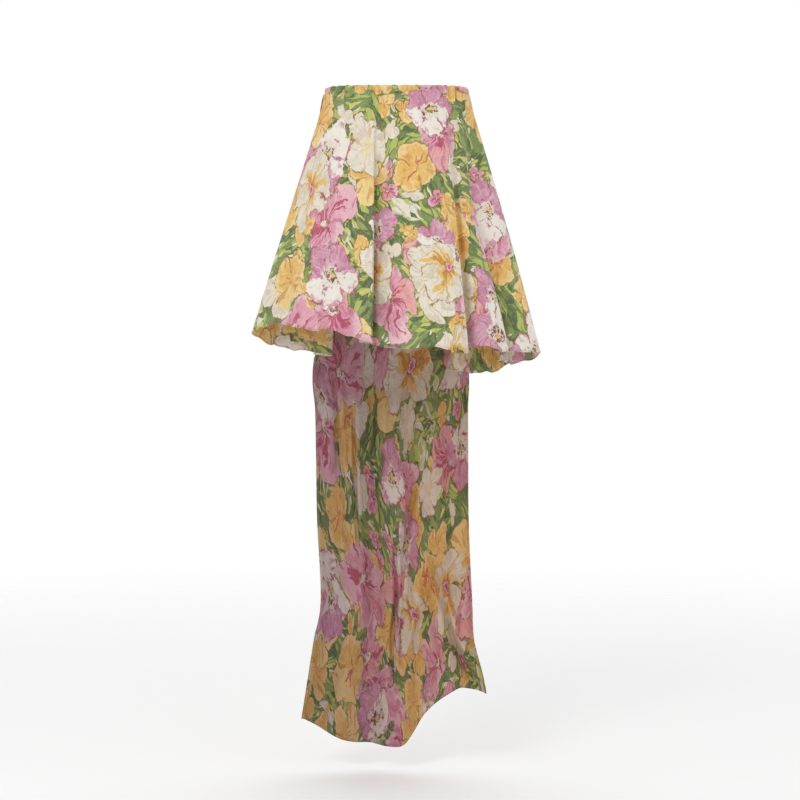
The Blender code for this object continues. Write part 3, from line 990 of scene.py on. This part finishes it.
def petal_paint(at):
    """Plain cream petals with a thin broken edge."""
    return coats(
        washed(at, CREAM, CREAM_SHADE, WHITE),
        (petal_line(at, 0.88), BLUSH_LINE),
        (rays_from_centre(at, 2.6, 1.34, 0.06), GOLD_PALE),
        (broken(at.edge, at, 0.43, 0.50), BLUSH_EDGE),
    )


PAINTS = (anemone_paint, lily_paint, pansy_paint, buttercup_paint, petal_paint)
LAYERS = (  # from the lowest
    Layer(0.062, (41.3, 13.9, 0.0), 0.46, 0.50, 2.0, 0.50, 0.60,
          ((0.0, buttercup_paint), (0.42, lily_paint), (0.72, petal_paint))),
    Layer(0.120, (3.1, 7.7, 0.0), 0.66, 0.52, 2.0, 0.46, 0.50,
          ((0.0, buttercup_paint), (0.74, petal_paint))),
    Layer(0.185, (11.3, 2.9, 0.0), 0.66, 0.52, 3.0, 0.34, 0.40,
          ((0.0, lily_paint), (0.80, buttercup_paint))),
    Layer(0.150, (5.7, 17.1, 0.0), 0.44, 0.48, 3.0, 0.28, 0.40,
          ((0.0, buttercup_paint), (0.26, petal_paint), (0.62, pansy_paint))),
    Layer(0.205, (23.9, 31.3, 0.0), 0.56, 0.42, 5.0, 0.30, 0.26,
          ((0.0, anemone_paint), (0.34, pansy_paint), (0.70, lily_paint))),
)

# The leaves, and the lighter strokes over them, the lowest first. grain is how many there are in a metre,
# across and along, and turn is in radians from the leaves. stops are colours, each from its start, and each
# leaf or stroke draws a number from 0 to 1: a stroke is there when that is less than its share.
LEAF_BEND = (14.0, 2.0, 0.050)  # scale, detail, and reach in metres
LEAF_PATCHES, LEAF_TURNS = 13.0, (-1.0, 2.2)  # patches in a metre, and which way they lie, in radians
LEAF_GRAIN = (40.0, 11.0, 0.0)
LEAF_STOPS = (
    (0.0, LEAF_DARK), (0.26, FERN), (0.56, LEAF), (0.80, LEAF_DARK), (0.90, MOSS), (0.95, CREAM),
)
DRY_BRUSH_GRAIN = (190.0, 34.0, 0.0)
LeafStrokes = namedtuple("LeafStrokes", "grain turn share stops")
LEAF_STROKES = (
    LeafStrokes((84.0, 24.0, 0.0), 0.34, 0.34,
                ((0.0, LIME), (0.14, MOSS), (0.22, LEMON), (0.28, LIME))),
    LeafStrokes((140.0, 40.0, 0.0), 0.26, 0.26,
                ((0.0, LEMON), (0.05, CREAM), (0.09, LIME), (0.18, LEAF_DARK))),
)
BRISTLE_BEND, BRISTLE_TURN = (22.0, 2.0, 0.020), 0.6
BRISTLE_GRAIN, BRISTLE_NOISE = (240.0, 70.0, 0.0), (1.0, 3.0, 0.6)


def leaf_ground(place):
    """Broad leaves, and lighter brush strokes over them, in patches that each lie their own way."""
    bent = place + wander(place, *LEAF_BEND)
    patch = split(cells(bent, "Color", scale=LEAF_PATCHES))[0]
    along = turned(bent, between(patch, *LEAF_TURNS))
    paint = stepped(split(cells(along * LEAF_GRAIN, "Color"))[0], LEAF_STOPS)
    dry_brush = noise(along * DRY_BRUSH_GRAIN, 1.0)
    paint = mixed(span(dry_brush, 0.46, 0.62) * 0.55, paint, MOSS)
    for row in LEAF_STROKES:
        strokes = turned(along, row.turn) * row.grain
        chance = split(cells(strokes, "Color"))[0]
        inside = cells(strokes, "Distance", feature="DISTANCE_TO_EDGE")
        share = span(inside, 0.05, 0.12) * calc("LESS_THAN", chance, row.share)
        paint = mixed(share, paint, stepped(chance, row.stops))
    return paint


def painted(paint):
    """A paint as a node group, from a place in a flower to its colour."""
    tree, at, ends = node_group(paint.__name__, dict.fromkeys(Spot._fields, NUMBER), {"colour": COLOUR})
    plug(ends["colour"], paint(at))
    return tree


def floral_print():
    """The whole print, as a node group from a place on the flat cloth to its colour."""
    tree, given, ends = node_group("floral_print", {"place": VECTOR}, {"colour": COLOUR})
    paints = {paint: painted(paint) for paint in PAINTS}
    scatter = flower_scatter()
    place = given.place
    colour = leaf_ground(place)
    for layer in LAYERS:
        inputs = layer._asdict() | {"place": place}
        kinds = inputs.pop("kinds")
        mask, rim, drawn_kind, *spot = use(scatter, inputs, SCATTERED)
        at = Spot(*spot)
        flower = None
        for start, kind in kinds:
            other = use(paints[kind], at._asdict(), "colour")
            flower = mixed(calc("GREATER_THAN", drawn_kind, start), flower, other) if flower else other
        colour = coats(colour, (broken(rim, at, 0.46, 0.54) * 0.8, OUTLINE), (mask, flower))
    drawn = turned(place + wander(place, *BRISTLE_BEND), BRISTLE_TURN)
    bristles = noise(drawn * BRISTLE_GRAIN, *BRISTLE_NOISE)
    plug(ends["colour"], coats(
        colour,
        (span(bristles, 0.52, 0.68) * 0.18, WHITE),
        (span(bristles, 0.48, 0.30) * 0.20, UMBER),
    ))
    return tree


# ---- Materials ---------------------------------------------------------------------------------------
REVERSE_DYE = (0.94, 0.90, 0.86, 1.0)  # linear RGB, what the reverse keeps of the print's colours
# The train's reverse: its duller print, with painted shade over it that is darkest at its left edge and
# lighter towards its right.
TRAIN_REVERSE_PAINTED_SHADE = ((0.54, 0.475, 0.50, 1.0), (0.75, 0.64, 0.58, 1.0))  # at its left and right edges
TINT_AND_SHADE_SPAN = (-0.16, 0.20)  # of X, over which the reverse goes from its left tint to its right one, the train's painted shade lightening to the right
TRAIN_DRAWN_OUT = (1.55, 0.82, 1.0)  # the train's print is narrower and longer than the body's
SOIL_SCALE, SOIL_SHARE = 9.0, 0.07
WEAVE_SCALE, TWIST_SCALE = 330.0, 900.0  # of a wave texture, where 1 gives a wave about every 0.3 m
SLUB_GRAIN, SLUB_SHARE = (60.0, 900.0, 0.0), 0.5
CRUSH_NOISE = (38.0, 3.0, 0.55)  # scale, detail and roughness
CRUSH_DEPTH, WEAVE_DEPTH, TWIST_DEPTH = 0.0012, 0.0002, 0.0001
CLOTH_ROUGHNESS, CLOTH_SPECULAR = (0.56, 0.72), 0.35
SHEEN, SHEEN_ROUGHNESS = 0.08, 0.4
THREAD_ROUGHNESS = 0.5


def new_finish(name):
    """A new material, its node tree and its shader's inputs."""
    finish = bpy.data.materials.new(name)
    finish.use_nodes = True
    return finish, finish.node_tree, finish.node_tree.nodes["Principled BSDF"].inputs


def printed_cloth(name, cloth_print, drawn_out=(1.0, 1.0, 1.0), tint_and_painted_shade=None):
    """Light printed cloth. Its reverse's colours are multiplied by a tint that goes from one at its left
    edge to another at its right: the reverse's duller print, and on the train painted shade too.
    """
    finish, tree, shader = new_finish(name)
    place = node("UVMap", (), tree=tree, uv_map="cloth")
    colour = use(cloth_print, {"place": place * drawn_out}, "colour")
    # The reverse's duller print, and on the train painted shade, darker at its left edge than at its right.
    if tint_and_painted_shade:
        across = apart(node("TexCoord", (), "Object", tree))[0]
        tint_and_painted_shade_colour = mixed(span(across, *TINT_AND_SHADE_SPAN), *tint_and_painted_shade)
        colour = mixed(1.0, colour, tint_and_painted_shade_colour, blend_type="MULTIPLY")
    uneven = noise(place, SOIL_SCALE, 3.0)
    plug(shader["Base Color"], mixed(span(uneven, 0.45, 0.75) * SOIL_SHARE, colour, SOIL))

    threads, picks = (waves(place, WEAVE_SCALE, 1.2, 1.0, direction) for direction in "XY")
    slubs = noise(place * SLUB_GRAIN, 1.0, 1.0)
    weave = slubs * SLUB_SHARE + calc("MAXIMUM", threads, picks)
    crush = noise(place, *CRUSH_NOISE)
    plug(shader["Roughness"], between(crush, *CLOTH_ROUGHNESS))
    plug(shader["Normal"], bump(crush, 0.5, CRUSH_DEPTH, under=bump(weave, 0.25, WEAVE_DEPTH)))
    shader["Sheen Weight"].default_value = SHEEN
    shader["Sheen Roughness"].default_value = SHEEN_ROUGHNESS
    shader["Specular IOR Level"].default_value = CLOTH_SPECULAR
    return finish


def sewing_thread():
    finish, tree, shader = new_finish("sewing_thread")
    twist = waves(node("TexCoord", (), "Object", tree), TWIST_SCALE, 0.5, 2.0, "DIAGONAL")
    plug(shader["Base Color"], mixed(twist, THREAD_SHADE, THREAD))
    plug(shader["Normal"], bump(twist, 0.4, TWIST_DEPTH))
    shader["Roughness"].default_value = THREAD_ROUGHNESS
    return finish


# ---- The dress ---------------------------------------------------------------------------------------
# The cut of each panel, laid flat: how wide and long its piece of cloth is, its area, and where on the
# printed cloth it is cut.
Cut = namedtuple("Cut", "width length area place")
CUTS = {
    "side_back_left": Cut(0.389, 0.581, 0.155, (5.30, 1.10)),
    "front": Cut(1.132, 0.654, 0.476, (3.00, 2.00)),
    "side_back_right": Cut(0.448, 0.633, 0.185, (7.10, 3.40)),
    "train": Cut(0.605, 1.517, 0.593, (14.10, 2.70)),
}

Cloth = namedtuple("Cloth", "face reverse hem slot")


def cut_cloths():
    """The face, reverse and hem of each panel's cloth, by its name. The train shows its reverse in front,
    with painted shade in its colours.
    """
    cloth_print = floral_print()
    face = printed_cloth("printed_cloth_face", cloth_print)
    reverse = printed_cloth("printed_cloth_reverse", cloth_print, tint_and_painted_shade=(REVERSE_DYE, REVERSE_DYE))
    train_face = printed_cloth("printed_cloth_train_face", cloth_print, TRAIN_DRAWN_OUT)
    # The train's reverse, which also makes its hem, carries painted shade.
    train_reverse = printed_cloth(
        "printed_cloth_train_reverse", cloth_print, TRAIN_DRAWN_OUT, TRAIN_REVERSE_PAINTED_SHADE
    )
    cloths = {panel.name: Cloth(face, reverse, face, "printed_cloth") for panel in PANELS}
    cloths["train"] = Cloth(train_face, train_reverse, train_reverse, "printed_cloth_train")
    return cloths


def laid_flat(panel, middle):
    """Where each point of the panel is on the printed cloth, in metres."""
    lay_flat = straight_cut if panel.name == "train" else flared_cut
    return lay_flat(middle) + CUTS[panel.name].place


def make_panel(panel, middle, flat, cloth):
    points, faces = parted_at_seams(middle), grid_faces(*middle.shape[:2])
    piece = mesh_piece(panel.name + "_cloth", points, faces, flat, [cloth.face, cloth.reverse])
    give_thickness(piece, CLOTH_THICKNESS)
    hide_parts(panel.name)
    return piece


def round_hem(panel, sides, bottom):
    """What is along the hemmed edge: the bottom, and on the train its two free sides too."""
    if panel.name != "train":
        return bottom
    free = slice(BODY_ROWS + 1, -1)
    return np.concatenate([sides[0][free], bottom, sides[1][free][::-1]])


def hem_edge(panel, field):
    return round_hem(panel, (field[:, 0], field[:, -1]), field[-1])


def from_hem(panel, middle):
    """Unit vectors from each point of the hemmed edge into the cloth."""
    sides = unit(middle[:, 1] - middle[:, 0]), unit(middle[:, -2] - middle[:, -1])
    return round_hem(panel, sides, unit(middle[-2] - middle[-1]))


def make_hem(panel, middle, flat, cloth, thread):
    """The panel's narrow rolled hem, and the rows of stitches that hold it, one on each side."""
    path, out = hem_edge(panel, middle), hem_edge(panel, outward(middle))
    roll = tube(panel.name + "_hem", path, out, hem_edge(panel, flat), HEM_RADIUS, HEM_SIDES, cloth.hem)
    line = path + from_hem(panel, middle) * STITCH_INSET
    proud = out * CLOTH_THICKNESS / 2
    rows = stitches(panel.name + "_hem_stitches", [(line + proud, out), (line - proud, -out)], thread)
    return [roll, rows]


def make_allowances(panel, middle, flat, cloth):
    """The panel's two seam allowances, folded back flat against its inside."""
    upper, flat_upper = middle[: BODY_ROWS + 1], flat[: BODY_ROWS + 1]
    out = outward(upper)
    reach = np.array([[row.share * SEAM_ALLOWANCE] for row in ALLOWANCE_ROWS])
    lift = np.array([[row.lift * CLOTH_THICKNESS] for row in ALLOWANCE_ROWS])
    made = []
    for side, edge, inner in (("left", 0, 1), ("right", -1, -2)):
        inwards = unit(upper[:, inner] - upper[:, edge])
        towards = unit(flat_upper[:, inner] - flat_upper[:, edge])
        points = upper[:, edge, None] + inwards[:, None] * reach - out[:, edge, None] * lift
        on_cloth = flat_upper[:, edge, None] + towards[:, None] * reach
        if side == "right":
            points, on_cloth = points[:, ::-1], on_cloth[:, ::-1]
        name, faces = panel.name + "_allowance_" + side, grid_faces(*points.shape[:2])
        strip = mesh_piece(name, points, faces, on_cloth, [cloth.reverse, cloth.reverse])
        give_thickness(strip, CLOTH_THICKNESS / 2)
        made.append(strip)
    return made


def squared(part, power):
    """A sine or cosine, moved towards -1 or 1 by a power below 1."""
    return math.copysign(abs(part) ** power, part)


def casing_rings(bearings):
    """The casing's cross-section at each bearing, as closed rings that start at the top and go outwards."""
    gathers, fine = gather_waves()[0], pucker_waves()
    away = unit(neckline(bearings, 0.0) * (NECK_HALF_WIDTH**-2, NECK_HALF_DEPTH**-2, 0.0))
    frill = CASING_FRILL * (1 - gathers / gathers.max()) / 2
    rings = []
    for turn in range(4 * CASING_ROWS):
        angle = math.pi / 2 * turn / CASING_ROWS
        height = (1 + squared(math.cos(angle), CASING_TOP_POWER)) / 2
        bulge = CASING_WALL / 2 * squared(math.sin(angle), CASING_SIDE_POWER)
        bulge *= CASING_FOOT + (1 - CASING_FOOT) * smooth_step(height / CASING_FOOT_REACH)
        middle = neckline(bearings, -CASING_HEIGHT * (1 - height))
        middle[:, 2] -= height * frill
        puff = gathers * (1 - CASING_GATHER_SHARE * height) + fine * (1 + height)
        lean = CASING_PUFF * height - CASING_LEAN * height**2
        rings.append(middle + away * (puff + lean + bulge)[:, None])
    return np.stack(rings)


def make_casing(flats, cloths):
    """The elastic's casing: a gathered band of the panels' own cloth, folded over at the top."""
    rings = casing_rings(hem_and_bearings()[1])
    count, columns = rings.shape[:2]
    down = (0.25 - np.arange(count) / count)[:, None] * 2 * CASING_HEIGHT
    top = np.concatenate([flats[panel.name][0, :-1] for panel in PANELS])
    flat = np.stack([top[:, 0] + 0 * down, top[:, 1] + CASING_HEIGHT / 2 + down], axis=2)
    closed = grid_faces(count + 1, columns, ring=True) % (count * columns)
    body, train = cloths["front"], cloths["train"]
    piece = mesh_piece("neck_casing_cloth", rings, closed, flat, [body.face, train.face])
    on_train = closed[:, 0] % columns >= column_count(PANELS[:-1])
    piece.data.polygons.foreach_set("material_index", on_train.astype(np.int32))
    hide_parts("neck_casing")


def make_dress():
    cloths, thread = cut_cloths(), sewing_thread()
    ring = body_ring()
    flats = {}
    for panel in PANELS:
        middle = cut_panel(ring, panel)
        if panel.name == "train":
            middle = train_surface(middle)
        cloth, cut, flat = cloths[panel.name], CUTS[panel.name], laid_flat(panel, middle)
        sheet = make_panel(panel, middle, flat, cloth)
        trims = make_hem(panel, middle, flat, cloth, thread) + make_allowances(panel, middle, flat, cloth)
        flats[panel.name] = flat
    make_casing(flats, cloths)


# ---- Studio ------------------------------------------------------------------------------------------
CAMERA_PLACE = (0.0066, -4.0, -0.674)
CAMERA_LENS, CAMERA_SENSOR = 81.8, 36.0
FRONT_LIGHT, BACKDROP_LIGHT = 0.74, 1.0  # the white world's strength before the dress and behind it
HORIZON = (-0.6, 0.6)  # of a direction's Y, over which it goes from the one to the other
FLOOR_RADIUS, FLOOR_DROP, FLOOR_SIDES = 7.0, 1.56, 96
FLOOR_FADE = (0.9, 0.1)  # shares of its radius, from clear to solid
FLOOR_WHITE, FLOOR_ROUGHNESS = (0.97, 0.97, 0.97, 1.0), 0.9

SoftBox = namedtuple("SoftBox", "name place target size power")
SOFT_BOXES = (
    SoftBox("key", (-1.3, -3.5, 1.3), (0.0, 0.0, -0.6), 1.2, 42.0),
    SoftBox("fill", (2.4, -2.8, 0.0), (0.0, 0.0, -0.8), 2.0, 8.0),
)


def add_object(name, data, place):
    made = bpy.data.objects.new(name, data)
    made.location = place
    bpy.context.scene.collection.objects.link(made)
    return made


def make_world():
    """A white world, a little darker before the dress than behind it."""
    world = bpy.data.worlds.new("studio")
    world.use_nodes = True
    background = world.node_tree.nodes["Background"].inputs
    ahead = apart(node("TexCoord", (), "Generated", world.node_tree))[1]
    background["Color"].default_value = (1.0, 1.0, 1.0, 1.0)
    plug(background["Strength"], between(span(ahead, *HORIZON), FRONT_LIGHT, BACKDROP_LIGHT))
    bpy.context.scene.world = world


def make_floor():
    """A pale disc that fades out towards its rim."""
    bpy.ops.object.select_all(action="DESELECT")
    bpy.ops.mesh.primitive_circle_add(
        vertices=FLOOR_SIDES, radius=FLOOR_RADIUS, fill_type="NGON", location=(0, 0, -FLOOR_DROP)
    )
    floor = bpy.context.object
    floor.name = "studio_floor"
    finish, tree, shader = new_finish("studio_floor")
    shader["Base Color"].default_value = FLOOR_WHITE
    shader["Roughness"].default_value = FLOOR_ROUGHNESS
    from_centre = length(node("TexCoord", (), "Object", tree))
    plug(shader["Alpha"], span(from_centre, *(FLOOR_RADIUS * share for share in FLOOR_FADE)))
    floor.data.materials.append(finish)


def make_studio():
    make_world()
    make_floor()
    scene = bpy.context.scene
    scene.view_settings.view_transform = "Standard"
    camera = add_object("camera", bpy.data.cameras.new("camera"), CAMERA_PLACE)
    camera.rotation_euler = (math.radians(90), 0, 0)
    camera.data.lens = CAMERA_LENS
    camera.data.sensor_width = CAMERA_SENSOR
    scene.camera = camera
    for box in SOFT_BOXES:
        light = bpy.data.lights.new(box.name, "AREA")
        light.shape = "SQUARE"
        light.size = box.size
        light.energy = box.power
        lamp = add_object(box.name, light, box.place)
        lamp.rotation_euler = (Vector(box.target) - Vector(box.place)).to_track_quat("-Z", "Y").to_euler()


make_studio()
make_dress()
